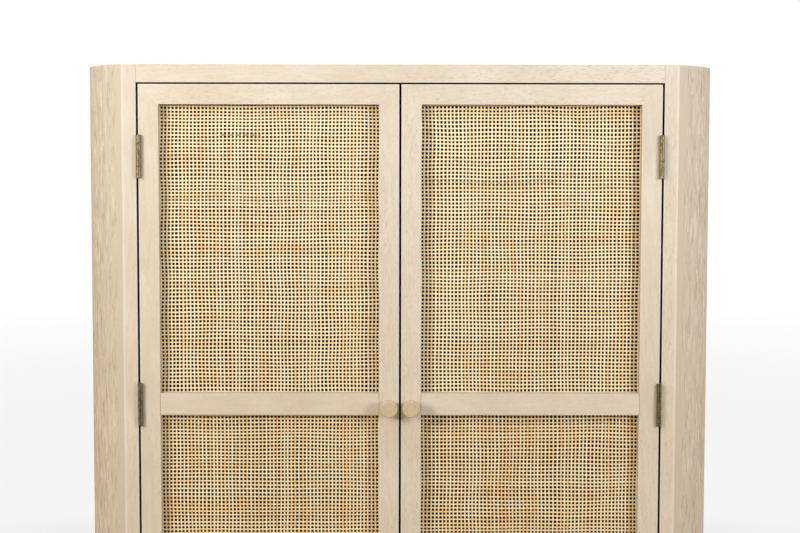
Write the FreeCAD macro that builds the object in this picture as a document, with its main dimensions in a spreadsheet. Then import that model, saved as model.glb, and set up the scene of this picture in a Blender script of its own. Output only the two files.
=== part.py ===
"""A tall two-door record cabinet with bowed sides and cane-panelled inset doors.

Millimetres, +Z up, the front faces -Y, +X is the right-hand side as seen from the front.
The origin is on the floor, under the middle of the whole part. The cabinet is symmetric about
the plane X = 0, so the right half is modelled and the left half is its mirror image.
"""

import FreeCAD, Part
import math
import os
import Sketcher

Vector = FreeCAD.Vector
doc = FreeCAD.newDocument("record_cabinet")

# ---------------------------------------------------------------------------------------------
# Driving dimensions
# ---------------------------------------------------------------------------------------------

sizes = {
    # carcass
    "front_width": 902,
    "carcass_depth": 380,
    "cabinet_height": 1180,
    "side_bulge": 79,
    "side_thickness": 18,
    "board_thickness": 18,
    "post_width": 23.5,
    "post_depth": 45,
    "face_rail_height": 29,
    "face_rail_thickness": 22,
    "edge_round": 1.5,
    "arris_round": 1.2,
    "back_thickness": 6,
    "back_rebate": 10,
    # shelves
    "shelf_thickness": 18,
    "shelf_setback": 48,
    "shelf_play": 1,
    "shelf_pin_radius": 2.5,
    "shelf_pin_depth": 8,
    "shelf_pin_reach": 9,
    "shelf_pin_width": 8,
    "shelf_pin_plate": 2,
    "shelf_pin_inset": 40,
    # plinth
    "plinth_height": 74,
    "plinth_setback": 40,
    "plinth_thickness": 18,
    "glide_height": 4,
    "glide_radius": 8,
    "glide_inset": 30,
    # doors
    "door_gap": 2.4,
    "hinge_gap": 3,
    "meeting_gap": 3.5,
    "door_thickness": 25,
    "door_frame_width": 32.75,
    "middle_rail_height": 36,
    "rebate_width": 6.5,
    "rebate_depth": 5.5,
    "cane_thickness": 1.5,
    "cane_play": 0.5,
    "strip_play": 0.3,
    # knob and its screw
    "knob_drop": 3.5,
    "knob_length": 32,
    "knob_radius": 14.25,
    "knob_face_radius": 11.3,
    "knob_neck_radius": 8,
    "knob_neck_length": 11,
    "knob_band_end": 27.5,
    "knob_screw_radius": 2,
    "knob_screw_bite": 18,
    "knob_screw_head_radius": 4.5,
    "knob_screw_head_height": 2.4,
    # butt hinges
    "hinge_length": 70,
    "hinge_end_distance": 117,
    "knuckle_radius": 4,
    "knuckle_play": 0.2,
    "barrel_clearance": 0.4,
    "pin_radius": 2.2,
    "pin_play": 0.05,
    "leaf_thickness": 1.3,
    "leaf_width": 18,
    # magnetic catches
    "catch_height": 44,
    "catch_depth": 22,
    "catch_width": 13,
    "catch_drop": 60,
    "catch_gap": 0.4,
    "strike_thickness": 1.2,
    "strike_width": 12,
    "strike_height": 36,
    "strike_offset": 2,
}

KNUCKLES = 5
ROUND_SIDES = 16
FASTENER_SIDES = 8
TIERS = 3

sheet = doc.addObject("Spreadsheet::Sheet", "sizes")
for row, (alias, number) in enumerate(sizes.items(), start=1):
    sheet.set(f"A{row}", alias)
    sheet.set(f"B{row}", str(number))
    sheet.setAlias(f"B{row}", alias)
doc.recompute()
places = doc.addObject("App::VarSet", "places")


class Size:
    """A length that carries its formula, for setExpression, beside its present value."""

    def __init__(self, text, value):
        self.text, self.value = text, value

    @staticmethod
    def of(thing):
        return thing if isinstance(thing, Size) else Size(str(thing), float(thing))

    def joined(self, sign, other, value):
        return Size(f"({self.text} {sign} {Size.of(other).text})", value)

    def __add__(self, other):
        return self.joined("+", other, self.value + Size.of(other).value)

    def __sub__(self, other):
        return self.joined("-", other, self.value - Size.of(other).value)

    def __mul__(self, other):
        return self.joined("*", other, self.value * Size.of(other).value)

    def __truediv__(self, other):
        return self.joined("/", other, self.value / Size.of(other).value)

    def __neg__(self):
        return self * -1

    def __rsub__(self, other):
        return Size.of(other) - self

    def __rmul__(self, other):
        return Size.of(other) * self

    def root(self):
        return Size(f"sqrt({self.text})", math.sqrt(self.value))


def size(alias):
    """A driving dimension from the spreadsheet."""
    return Size(f"sizes.{alias}", float(sheet.get(alias)))


def place(name, length):
    """Gives a worked-out length a name of its own in the document."""
    places.addProperty("App::PropertyFloat", name)
    places.setExpression(name, length.text)
    return Size(f"places.{name}", length.value)


ZERO = Size.of(0)

# ---------------------------------------------------------------------------------------------
# Ways of making a piece
# ---------------------------------------------------------------------------------------------

subparts = []


def subpart(item, label):
    """Marks a finished object as one separate piece of the cabinet."""
    item.Label = label
    subparts.append(item)
    return item


def move_to(item, x=None, y=None, z=None):
    for axis, length in (("x", x), ("y", y), ("z", z)):
        if length is not None:
            item.setExpression(f"Placement.Base.{axis}", Size.of(length).text)
    return item


def turn(item, axis, degrees):
    item.Placement = FreeCAD.Placement(Vector(), FreeCAD.Rotation(axis, degrees))
    return item


def edge_between(start, end, radius):
    """A line, or an arc: a positive radius turns left on the way from start to end."""
    a, b = (Vector(x.value, y.value, 0) for x, y in (start, end))
    if radius is None:
        return Part.LineSegment(a, b), True
    r, half = radius.value, (b - a) * 0.5
    side = 1 if r > 0 else -1
    rise = math.sqrt(r * r - half.Length**2)
    centre = a + half + Vector(-half.y, half.x, 0).normalize() * rise * side
    circle = Part.Circle(centre, Vector(0, 0, 1), abs(r))
    first, last = (a, b) if side > 0 else (b, a)
    return Part.ArcOfCircle(circle, circle.parameter(first), circle.parameter(last)), side > 0


def draw_outline(body, role, corners):
    """A closed sketch on an origin plane of the body. Every corner is (x, y) or (x, y, radius of
    the arc that arrives there), and all its coordinates and radii follow the spreadsheet."""
    sketch = body.newObject("Sketcher::SketchObject", f"{body.Name}_outline")
    plane = next(p for p in body.Origin.OriginFeatures if p.Role == role)
    sketch.AttachmentSupport = [(plane, "")]
    sketch.MapMode = "FlatFace"
    points = [(Size.of(c[0]), Size.of(c[1])) for c in corners]
    ends, bound = [], []
    for number, corner in enumerate(corners):
        radius = Size.of(corner[2]) if len(corner) > 2 else None
        geometry, forward = edge_between(points[number - 1], points[number], radius)
        sketch.addGeometry(geometry)
        ends.append((1, 2) if forward else (2, 1))
        if radius is not None:
            length = radius if radius.value > 0 else -radius
            rule = sketch.addConstraint(Sketcher.Constraint("Radius", number, length.value))
            bound.append((rule, length))
    for number, (x, y) in enumerate(points):
        following = (number + 1) % len(points)
        here = (number, ends[number][1])
        sketch.addConstraint(Sketcher.Constraint("Coincident", *here, following, ends[following][0]))
        for kind, length in (("DistanceX", x), ("DistanceY", y)):
            rule = sketch.addConstraint(Sketcher.Constraint(kind, -1, 1, *here, length.value))
            bound.append((rule, length))
    for rule, length in bound:
        sketch.setExpression(f"Constraints[{rule}]", length.text)
    return sketch


def padded(name, role, corners, low, high):
    """A body padded from an outline, from one plane to another along the outline's normal."""
    body = doc.addObject("PartDesign::Body", name)
    pad = body.newObject("PartDesign::Pad", f"{name}_pad")
    pad.Profile = draw_outline(body, role, corners)
    low, high = Size.of(low), Size.of(high)
    pad.setExpression("Length", (high - low).text)
    if role == "XZ_Plane":
        pad.Reversed = True
    axis = {"XY_Plane": "z", "XZ_Plane": "y", "YZ_Plane": "x"}[role]
    return move_to(body, **{axis: low})


def turned(name, corners):
    """A body of revolution about its own Z axis. Corners are (radius, height)."""
    body = doc.addObject("PartDesign::Body", name)
    sketch = draw_outline(body, "XZ_Plane", corners)
    revolution = body.newObject("PartDesign::Revolution", f"{name}_turning")
    revolution.Profile = sketch
    revolution.ReferenceAxis = (sketch, ["V_Axis"])
    revolution.Angle = 360
    return body


def board(name, x, y, z):
    """A plain board between three pairs of planes."""
    box = doc.addObject("Part::Box", name)
    for side, (low, high) in (("Length", x), ("Width", y), ("Height", z)):
        box.setExpression(side, (Size.of(high) - low).text)
    return move_to(box, x[0], y[0], z[0])


def many_sided_rod(name, sides, radius, length, z=0):
    """A round piece kept to a few flat sides, because there are many of it."""
    rod = doc.addObject("Part::Prism", name)
    rod.Polygon = sides
    rod.setExpression("Circumradius", radius.text)
    rod.setExpression("Height", Size.of(length).text)
    return move_to(rod, z=z)


def small_rod(name, radius, length, x, y, z, axis):
    """A pin or screw shank that starts at x, y, z and runs along the axis."""
    rod = many_sided_rod(name, FASTENER_SIDES, radius, length)
    rod.Placement = FreeCAD.Placement(Vector(), FreeCAD.Rotation(Vector(0, 0, 1), axis))
    return move_to(rod, x, y, z)


def fused(name, *items):
    joint = doc.addObject("Part::MultiFuse", name)
    joint.Shapes = list(items)
    joint.Refine = True
    return joint


def cut(item, *tools):
    """The item with room cut in it for each tool in turn."""
    for number, tool in enumerate(tools):
        room = doc.addObject("Part::Cut", f"{item.Name}_cut{number}")
        room.Base, room.Tool = item, tool
        item = room
    return item


def copies(name, master, spots):
    """One group of separate solids: the master at each (x, y, z) spot."""
    group = doc.addObject("Part::Compound", name)
    links = []
    for number, (x, y, z) in enumerate(spots):
        link = doc.addObject("App::Link", f"{name}_{number}")
        link.LinkedObject = master
        links.append(move_to(link, x, y, z))
    group.Links = links
    return group


def together(name, *items):
    group = doc.addObject("Part::Compound", name)
    group.Links = list(items)
    return group


def mirrored(item, label):
    """The same piece on the left-hand side of the cabinet."""
    image = doc.addObject("Part::Mirroring", label)
    image.Source = item
    image.Normal = Vector(1, 0, 0)
    return subpart(image, label)


def both_sides(item, label):
    subpart(item, f"{label}_right")
    mirrored(item, f"{label}_left")
    return item


# ---------------------------------------------------------------------------------------------
# Planes and curves that several pieces share
# ---------------------------------------------------------------------------------------------

front = place("front", (size("knob_length") - size("carcass_depth")) / 2)
back = place("back", front + size("carcass_depth"))
middle_y = place("middle_y", front + size("carcass_depth") / 2)
top = size("cabinet_height")
carcass_bottom = size("plinth_height")

half_front = place("half_front", size("front_width") / 2)
half_opening = place("half_opening", half_front - size("post_width"))
post_back = place("post_back", front + size("post_depth"))
rear_post_front = place("rear_post_front", back - size("post_depth"))
back_panel_front = place("back_panel_front", back - size("back_thickness"))

# The bowed side is an arc in plan, from the front arris to the back one.
half_depth = size("carcass_depth") / 2
arc_radius = place(
    "arc_radius",
    (half_depth * half_depth + size("side_bulge") * size("side_bulge")) / (2 * size("side_bulge")),
)
arc_centre = place("arc_centre", half_front + size("side_bulge") - arc_radius)


def bow(inset, y):
    """X of the curve that runs the inset distance inside the bowed side, at depth y."""
    radius = arc_radius - inset
    return arc_centre + (radius * radius - (y - middle_y) * (y - middle_y)).root()


opening_bottom = place("opening_bottom", carcass_bottom + size("face_rail_height"))
opening_top = place("opening_top", top - size("face_rail_height"))
floor_bottom = place("floor_bottom", opening_bottom - size("board_thickness"))
ceiling = place("ceiling", top - size("board_thickness"))
half_board = size("board_thickness") / 2

door_left = place("door_left", size("meeting_gap") / 2)
door_right = place("door_right", half_opening - size("hinge_gap"))
door_bottom = place("door_bottom", opening_bottom + size("door_gap"))
door_top = place("door_top", opening_top - size("door_gap"))
door_back = place("door_back", front + size("door_thickness"))
door_width = place("door_width", door_right - door_left)
door_height = place("door_height", door_top - door_bottom)
door_middle = place("door_middle", (door_top + door_bottom) / 2)

# The barrel lies tangent to the post's side of the gap, in line with the leaf that is fixed there.
hinge_x = place("hinge_x", half_opening - size("knuckle_radius"))
hinge_y = place("hinge_y", front - size("knuckle_radius") - size("barrel_clearance"))
half_hinge = size("hinge_length") / 2
hinge_heights = [
    place("low_hinge", door_bottom + size("hinge_end_distance") - half_hinge),
    place("middle_hinge", door_middle - half_hinge),
    place("high_hinge", door_top - size("hinge_end_distance") - half_hinge),
]

# ---------------------------------------------------------------------------------------------
# Butt hinges: two leaves with interleaved knuckles on a loose pin, three to a door
# ---------------------------------------------------------------------------------------------

# All in the hinge's own frame: the pin axis is Z, the post is on the +X side.
# The leaves lie in the gap, one flat on the edge of the door and one flat on the post.
leaf_end = front + size("leaf_width") - hinge_y
post_face = half_opening - hinge_x
door_face = door_right - hinge_x
post_leaf = (post_face - size("leaf_thickness"), post_face)
door_leaf = (door_face, door_face + size("leaf_thickness"))
knuckle_pitch = size("hinge_length") / KNUCKLES


def hinge_leaf(name, plate_x, own_knuckles):
    """Barrel and plate in one, with the other leaf's knuckles and the pin's bore cut away."""
    whole = size("hinge_length")
    barrel = many_sided_rod(f"{name}_barrel", ROUND_SIDES, size("knuckle_radius"), whole)
    plate = board(f"{name}_plate", plate_x, (ZERO, leaf_end), (ZERO, whole))
    leaf = fused(name, barrel, plate)
    reach = size("knuckle_radius") + size("barrel_clearance")
    for number in range(KNUCKLES):
        if number in own_knuckles:
            continue
        low = number * knuckle_pitch - size("knuckle_play") / 2
        high = low + knuckle_pitch + size("knuckle_play")
        leaf = cut(leaf, board(f"{name}_room{number}", (-reach, reach), (-reach, reach), (low, high)))
    # The bore's flat sides, not its corners, are the play away from the pin.
    bore_radius = (size("pin_radius") + size("pin_play")) / math.cos(math.pi / ROUND_SIDES)
    return cut(leaf, many_sided_rod(f"{name}_bore", ROUND_SIDES, bore_radius, whole))


hinge_spots = [(hinge_x, hinge_y, low) for low in hinge_heights]
even_knuckles = range(0, KNUCKLES, 2)
odd_knuckles = range(1, KNUCKLES, 2)
frame_leaf = hinge_leaf("frame_leaf", post_leaf, even_knuckles)
frame_leaves = copies("frame_leaves", frame_leaf, hinge_spots)
moving_leaf = hinge_leaf("door_leaf", door_leaf, odd_knuckles)
door_leaves = copies("door_leaves", moving_leaf, hinge_spots)
pin = doc.addObject("Part::Cylinder", "pin")
pin.setExpression("Radius", size("pin_radius").text)
pin.setExpression("Height", size("hinge_length").text)
both_sides(frame_leaves, "hinge_frame_leaves")
both_sides(door_leaves, "hinge_door_leaves")
both_sides(copies("pins", pin, hinge_spots), "hinge_pins")

# ---------------------------------------------------------------------------------------------
# Carcass: posts, bowed sides, face rails, top, bottom, back and partition
# ---------------------------------------------------------------------------------------------

# The back is let into a rebate of the rear posts, the top and the bottom.
back_edge = half_opening + size("back_rebate")
back_low = place("back_low", opening_bottom - size("back_rebate"))
back_high = place("back_high", ceiling + size("back_rebate"))
back_panel = board(
    "back_board", (-back_edge, back_edge), (back_panel_front, back), (back_low, back_high)
)
subpart(back_panel, "back_panel")

# Solid corner posts. Their outer faces carry the curve of the bowed side.
front_post = padded(
    "front_post",
    "XY_Plane",
    [
        (half_opening, front + size("edge_round")),
        (half_opening + size("edge_round"), front, size("edge_round")),
        (half_front, front),
        (bow(0, post_back), post_back, arc_radius),
        (half_opening, post_back),
    ],
    carcass_bottom,
    top,
)


def round_upright_edge(body, x, y, radius):
    """A fillet on the body's upright edge at x, y."""
    doc.recompute()
    base = body.Tip
    name = next(
        f"Edge{number}"
        for number, edge in enumerate(base.Shape.Edges, start=1)
        if all(
            math.hypot(v.X - x.value, v.Y - y.value) < size("edge_round").value / 4
            for v in edge.Vertexes
        )
    )
    fillet = body.newObject("PartDesign::Fillet", f"{body.Name}_round")
    fillet.Base = (base, [name])
    fillet.setExpression("Radius", radius.text)


round_upright_edge(front_post, half_front, front, size("arris_round"))
both_sides(front_post, "corner_post")

rear_post = padded(
    "back_post",
    "XY_Plane",
    [
        (half_opening, rear_post_front),
        (bow(0, rear_post_front), rear_post_front),
        (half_front, back, arc_radius),
        (back_edge, back),
        (back_edge, back_panel_front),
        (half_opening, back_panel_front),
    ],
    carcass_bottom,
    top,
)
both_sides(rear_post, "rear_post")

side_inset = size("side_thickness")
bowed_side = padded(
    "bowed_side",
    "XY_Plane",
    [
        (bow(side_inset, post_back), post_back, side_inset - arc_radius),
        (bow(0, post_back), post_back),
        (bow(0, rear_post_front), rear_post_front, arc_radius),
        (bow(side_inset, rear_post_front), rear_post_front),
    ],
    carcass_bottom,
    top,
)


def face_rail(label, low, high):
    """A rail between the corner posts, its two front edges rounded."""
    soft = size("edge_round")
    rail_back = front + size("face_rail_thickness")
    outline = [
        (front, low + soft),
        (front + soft, low, soft),
        (rail_back, low),
        (rail_back, high),
        (front + soft, high),
        (front, high - soft, soft),
    ]
    subpart(padded(f"{label}_blank", "YZ_Plane", outline, -half_opening, half_opening), label)


face_rail("front_top_rail", opening_top, top)
face_rail("front_bottom_rail", carcass_bottom, opening_bottom)


def carcass_board(name, low, high):
    """Top or bottom: fills the plan between the bowed sides, notched round the four posts."""
    rail_back = front + size("face_rail_thickness")
    side_front = bow(side_inset, post_back)
    side_rear = bow(side_inset, rear_post_front)
    inner_bow = arc_radius - side_inset
    outline = [
        (-half_opening, rail_back),
        (half_opening, rail_back),
        (half_opening, post_back),
        (side_front, post_back),
        (side_rear, rear_post_front, inner_bow),
        (half_opening, rear_post_front),
        (half_opening, back),
        (-half_opening, back),
        (-half_opening, rear_post_front),
        (-side_rear, rear_post_front),
        (-side_front, post_back, inner_bow),
        (-half_opening, post_back),
    ]
    return cut(padded(name, "XY_Plane", outline, low, high), back_panel)


top_board = carcass_board("top_board", ceiling, top)
floor_board = carcass_board("floor_board", floor_bottom, opening_bottom)
subpart(top_board, "top_panel")
subpart(floor_board, "bottom_panel")

partition_front = door_back + size("shelf_play")
partition = board(
    "partition_board",
    (-half_board, half_board),
    (partition_front, back_panel_front),
    (opening_bottom, ceiling),
)

# ---------------------------------------------------------------------------------------------
# Shelves: the tiers are equal, each shelf rests on four flat-topped pins
# ---------------------------------------------------------------------------------------------

tier = place(
    "tier",
    (ceiling - opening_bottom - size("shelf_thickness") * (TIERS - 1)) / TIERS,
)
shelf_lows = {
    "lower_shelf": opening_bottom + tier,
    "upper_shelf": opening_bottom + tier * 2 + size("shelf_thickness"),
}
shelf_front = front + size("shelf_setback")
shelf_back = back_panel_front - size("shelf_play")
shelf_notch = rear_post_front - size("shelf_play")
shelf_edge = side_inset + size("shelf_play")
pin_rows = (shelf_front + size("shelf_pin_inset"), shelf_notch - size("shelf_pin_inset"))


def shelf_pin(name, wall, direction, y, underside):
    """A round pin let into the wall, with a flat plate that reaches under the shelf."""
    axis = Vector(direction, 0, 0)
    half_width = size("shelf_pin_width") / 2
    if direction > 0:
        tail, reach = wall - size("shelf_pin_depth"), (wall, wall + size("shelf_pin_reach"))
    else:
        tail, reach = wall + size("shelf_pin_depth"), (wall - size("shelf_pin_reach"), wall)
    length = size("shelf_pin_depth") + size("shelf_pin_reach")
    centre = underside - size("shelf_pin_radius")
    rod = small_rod(f"{name}_rod", size("shelf_pin_radius"), length, tail, y, centre, axis)
    sides = (y - half_width, y + half_width)
    plate = board(f"{name}_plate", reach, sides, (underside - size("shelf_pin_plate"), underside))
    return fused(name, rod, plate)


right_pins = []
for shelf_name, low in shelf_lows.items():
    shelf = padded(
        f"{shelf_name}_blank",
        "XY_Plane",
        [
            (half_board + size("shelf_play") / 2, shelf_front),
            (bow(shelf_edge, shelf_front), shelf_front),
            (bow(shelf_edge, shelf_notch), shelf_notch, arc_radius - shelf_edge),
            (half_opening - size("shelf_play"), shelf_notch),
            (half_opening - size("shelf_play"), shelf_back),
            (half_board + size("shelf_play") / 2, shelf_back),
        ],
        low,
        low + size("shelf_thickness"),
    )
    both_sides(shelf, shelf_name)
    for row, y in enumerate(pin_rows):
        # The plate starts where its own front or back corner clears the curved wall.
        far = y - size("shelf_pin_width") / 2 if row == 0 else y + size("shelf_pin_width") / 2
        wall = bow(side_inset, far)
        right_pins.append(shelf_pin(f"{shelf_name}_inner_pin{row}", half_board, 1, y, low))
        right_pins.append(shelf_pin(f"{shelf_name}_outer_pin{row}", wall, -1, y, low))
right_pin_set = together("right_pin_set", *right_pins)
left_pin_set = doc.addObject("Part::Mirroring", "left_pin_set")
left_pin_set.Source = right_pin_set
left_pin_set.Normal = Vector(1, 0, 0)
subpart(together("all_pins", right_pin_set, left_pin_set), "shelf_pins")
both_sides(cut(bowed_side, right_pin_set), "side_panel")
subpart(cut(partition, right_pin_set, left_pin_set), "centre_partition")

# ---------------------------------------------------------------------------------------------
# Plinth: set back under the carcass and bowed like the sides, on plastic glides
# ---------------------------------------------------------------------------------------------

plinth_low = size("glide_height")
plinth_out = size("plinth_setback")
plinth_in = plinth_out + size("plinth_thickness")
plinth_front = front + size("plinth_setback")
plinth_back = back - size("plinth_setback")
plinth_side = padded(
    "plinth_bow",
    "XY_Plane",
    [
        (bow(plinth_in, plinth_front), plinth_front, plinth_in - arc_radius),
        (bow(plinth_out, plinth_front), plinth_front),
        (bow(plinth_out, plinth_back), plinth_back, arc_radius - plinth_out),
        (bow(plinth_in, plinth_back), plinth_back),
    ],
    plinth_low,
    floor_bottom,
)
# Its ends are notched round the feet of the posts.
both_sides(cut(plinth_side, front_post, rear_post), "plinth_side")


def plinth_board(label, near, far):
    """A straight plinth board whose ends follow the inner curve of the bowed ones."""
    radius = arc_radius - plinth_in
    outline = [
        (-bow(plinth_in, near), near, radius),
        (bow(plinth_in, near), near),
        (bow(plinth_in, far), far, radius),
        (-bow(plinth_in, far), far),
    ]
    subpart(padded(f"{label}_blank", "XY_Plane", outline, plinth_low, floor_bottom), label)


plinth_board("plinth_front", plinth_front, plinth_front + size("plinth_thickness"))
plinth_board("plinth_back", plinth_back - size("plinth_thickness"), plinth_back)

glide = many_sided_rod("glide", ROUND_SIDES, size("glide_radius"), size("glide_height"))
glide_rows = (
    plinth_front + size("plinth_thickness") / 2,
    plinth_back - size("plinth_thickness") / 2,
)
glide_x = bow(plinth_in, plinth_front) - size("glide_inset")
glide_spots = [(x, y, ZERO) for y in glide_rows for x in (-glide_x, glide_x)]
subpart(copies("glide_set", glide, glide_spots), "glides")

# ---------------------------------------------------------------------------------------------
# Doors: a mitred and rebated frame with a middle rail, cane let in from behind
# ---------------------------------------------------------------------------------------------

member_width = size("door_frame_width")
rebate_front = size("door_thickness") - size("rebate_depth")


def mitred_member(name, length):
    """A door frame member standing on its own origin: outer edge on Z, face on Y = 0, the window
    on its +X side. One section for all, mitred at both ends."""
    soft = size("edge_round")
    section = [
        (0, soft),
        (soft, 0, soft),
        (member_width - soft, 0),
        (member_width, soft, soft),
        (member_width, rebate_front),
        (member_width - size("rebate_width"), rebate_front),
        (member_width - size("rebate_width"), size("door_thickness")),
        (0, size("door_thickness")),
    ]
    body = padded(name, "XY_Plane", section, ZERO, length)
    for end, corners in (
        ("start", [(0, 0), (member_width, 0), (member_width, member_width)]),
        ("finish", [(0, length), (member_width, length - member_width), (member_width, length)]),
    ):
        mitre = body.newObject("PartDesign::Pocket", f"{name}_{end}_mitre")
        mitre.Profile = draw_outline(body, "XZ_Plane", corners)
        mitre.Type = "ThroughAll"
        mitre.Midplane = True
    return body


def placed_member(name, length, quarter_turns, corner_x, corner_z):
    member = mitred_member(name, length)
    turn(member, Vector(0, 1, 0), 90 * quarter_turns)
    return move_to(member, corner_x, front, corner_z)


meeting_stile = placed_member("meeting_member", door_height, 0, door_left, door_bottom)
top_rail = placed_member("top_member", door_width, 1, door_left, door_top)
hinge_stile = placed_member("hinge_member", door_height, 2, door_right, door_top)
bottom_rail = placed_member("bottom_member", door_width, -1, door_right, door_bottom)

window_x = (
    place("window_left", door_left + member_width),
    place("window_right", door_right - member_width),
)
rail_half = size("middle_rail_height") / 2
windows = {
    "upper": (
        place("upper_window_bottom", door_middle + rail_half),
        place("upper_window_top", door_top - member_width),
    ),
    "lower": (
        place("lower_window_bottom", door_bottom + member_width),
        place("lower_window_top", door_middle - rail_half),
    ),
}
rebate_y = place("rebate_y", front + rebate_front)
cane_back = rebate_y + size("cane_thickness")

# The middle rail butts between the stiles in front, and its tongue fills their rebates behind.
soft = size("edge_round")
rail_low, rail_high = door_middle - rail_half, door_middle + rail_half
rail_front_part = padded(
    "middle_rail_front",
    "YZ_Plane",
    [
        (front, rail_low + soft),
        (front + soft, rail_low, soft),
        (rebate_y, rail_low),
        (rebate_y, rail_high),
        (front + soft, rail_high),
        (front, rail_high - soft, soft),
    ],
    *window_x,
)
rail_tongue = board(
    "middle_rail_tongue",
    (window_x[0] - size("rebate_width"), window_x[1] + size("rebate_width")),
    (rebate_y, door_back),
    (rail_low + size("rebate_width"), rail_high - size("rebate_width")),
)
middle_rail = fused("middle_rail_whole", rail_front_part, rail_tongue)

# Turned knob, face up on Z, and the screw that holds it from inside the door.
knob_blank = turned(
    "knob_turning",
    [
        (0, 0),
        (size("knob_neck_radius"), 0),
        (size("knob_neck_radius"), size("knob_neck_length")),
        (size("knob_radius"), size("knob_neck_length")),
        (size("knob_radius"), size("knob_band_end")),
        (size("knob_face_radius"), size("knob_length")),
        (0, size("knob_length")),
    ],
)
knob_x = door_left + member_width / 2
knob_z = place("knob_height", door_middle - size("knob_drop"))
turn(knob_blank, Vector(1, 0, 0), 90)
move_to(knob_blank, knob_x, front, knob_z)
knob_screw = fused(
    "knob_screw_whole",
    small_rod(
        "knob_screw_shank",
        size("knob_screw_radius"),
        size("door_thickness") + size("knob_screw_bite"),
        knob_x,
        door_back,
        knob_z,
        Vector(0, -1, 0),
    ),
    small_rod(
        "knob_screw_head",
        size("knob_screw_head_radius"),
        size("knob_screw_head_height"),
        knob_x,
        door_back,
        knob_z,
        Vector(0, 1, 0),
    ),
)

# Magnetic catch on the partition, strike plate on the door opposite.
strike_back = door_back + size("strike_thickness")
catch_front = strike_back + size("catch_gap")
catch_middle = door_top - size("catch_drop")
catch = board(
    "catch_case",
    (half_board, half_board + size("catch_width")),
    (catch_front, catch_front + size("catch_depth")),
    (catch_middle - size("catch_height") / 2, catch_middle + size("catch_height") / 2),
)
strike_x = half_board + size("strike_offset")
strike = board(
    "strike",
    (strike_x, strike_x + size("strike_width")),
    (door_back, strike_back),
    (catch_middle - size("strike_height") / 2, catch_middle + size("strike_height") / 2),
)


def window_sheet(name, low, high):
    grip = size("rebate_width") - size("cane_play")
    across = (window_x[0] - grip, window_x[1] + grip)
    return board(name, across, (rebate_y, cane_back), (low - grip, high + grip))


def window_strips(name, low, high):
    """Four mitred strips that hold the cane in its rebate."""
    out, left, right = size("rebate_width") - size("strip_play"), window_x[0], window_x[1]
    inner = [(left, low), (right, low), (right, high), (left, high)]
    outer = [
        (left - out, low - out),
        (right + out, low - out),
        (right + out, high + out),
        (left - out, high + out),
    ]
    strips = [
        padded(
            f"{name}_{number}",
            "XZ_Plane",
            [outer[number - 1], outer[number], inner[number], inner[number - 1]],
            cane_back,
            door_back,
        )
        for number in range(len(inner))
    ]
    return together(name, *strips)


both_sides(hinge_stile, "hinge_stile")
both_sides(cut(meeting_stile, knob_screw), "meeting_stile")
both_sides(top_rail, "door_top_rail")
both_sides(bottom_rail, "door_bottom_rail")
both_sides(middle_rail, "door_middle_rail")
for window_name, (low, high) in windows.items():
    both_sides(window_sheet(f"{window_name}_sheet", low, high), f"cane_{window_name}")
    both_sides(window_strips(f"{window_name}_strips", low, high), f"cane_strips_{window_name}")
both_sides(cut(knob_blank, knob_screw), "knob")
both_sides(knob_screw, "knob_screw")
both_sides(catch, "magnetic_catch")
both_sides(strike, "strike_plate")

# ---------------------------------------------------------------------------------------------
# Build, check and write every piece
# ---------------------------------------------------------------------------------------------

doc.recompute()
for item in doc.Objects:
    if "Invalid" in item.State or "Error" in item.State:
        raise RuntimeError(f"{item.Label} failed: {item.State}")
os.makedirs("parts", exist_ok=True)
for item in subparts:
    if item.Shape.isNull() or not item.Shape.isValid() or not item.Shape.Solids:
        raise RuntimeError(f"{item.Label} has no sound shape")
    item.Shape.exportStep(f"parts/{item.Label}.step")
    box = item.Shape.BoundBox
    print(
        f"{item.Label}: {len(item.Shape.Solids)} solids, "
        f"{box.XLength:.1f} x {box.YLength:.1f} x {box.ZLength:.1f}"
    )
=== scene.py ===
import math

import bmesh
import bpy
import numpy as np
from mathutils import Matrix, Vector


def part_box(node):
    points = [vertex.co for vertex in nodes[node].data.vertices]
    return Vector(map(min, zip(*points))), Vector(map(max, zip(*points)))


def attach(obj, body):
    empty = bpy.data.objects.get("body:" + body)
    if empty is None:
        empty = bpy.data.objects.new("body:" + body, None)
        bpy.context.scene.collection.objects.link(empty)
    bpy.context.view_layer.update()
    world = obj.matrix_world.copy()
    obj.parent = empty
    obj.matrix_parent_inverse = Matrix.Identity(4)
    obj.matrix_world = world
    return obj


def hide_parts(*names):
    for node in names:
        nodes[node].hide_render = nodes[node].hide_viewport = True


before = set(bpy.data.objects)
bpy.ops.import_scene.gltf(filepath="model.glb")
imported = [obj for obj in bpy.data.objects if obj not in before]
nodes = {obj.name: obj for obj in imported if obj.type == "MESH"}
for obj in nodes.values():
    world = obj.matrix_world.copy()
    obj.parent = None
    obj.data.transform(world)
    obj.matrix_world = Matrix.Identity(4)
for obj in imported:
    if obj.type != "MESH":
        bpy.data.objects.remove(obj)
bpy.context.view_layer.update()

# ----------------------------------------
# Carcass: solid oak corner posts and face rails, bowed sides bent from oak-faced ply, and the top.
# All are glued up flush, sanded, limed with a thin white wash and sealed with a matt lacquer, which
# leaves the pores and the growth bands faintly darker than the wood between them.

MM = 0.001


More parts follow.
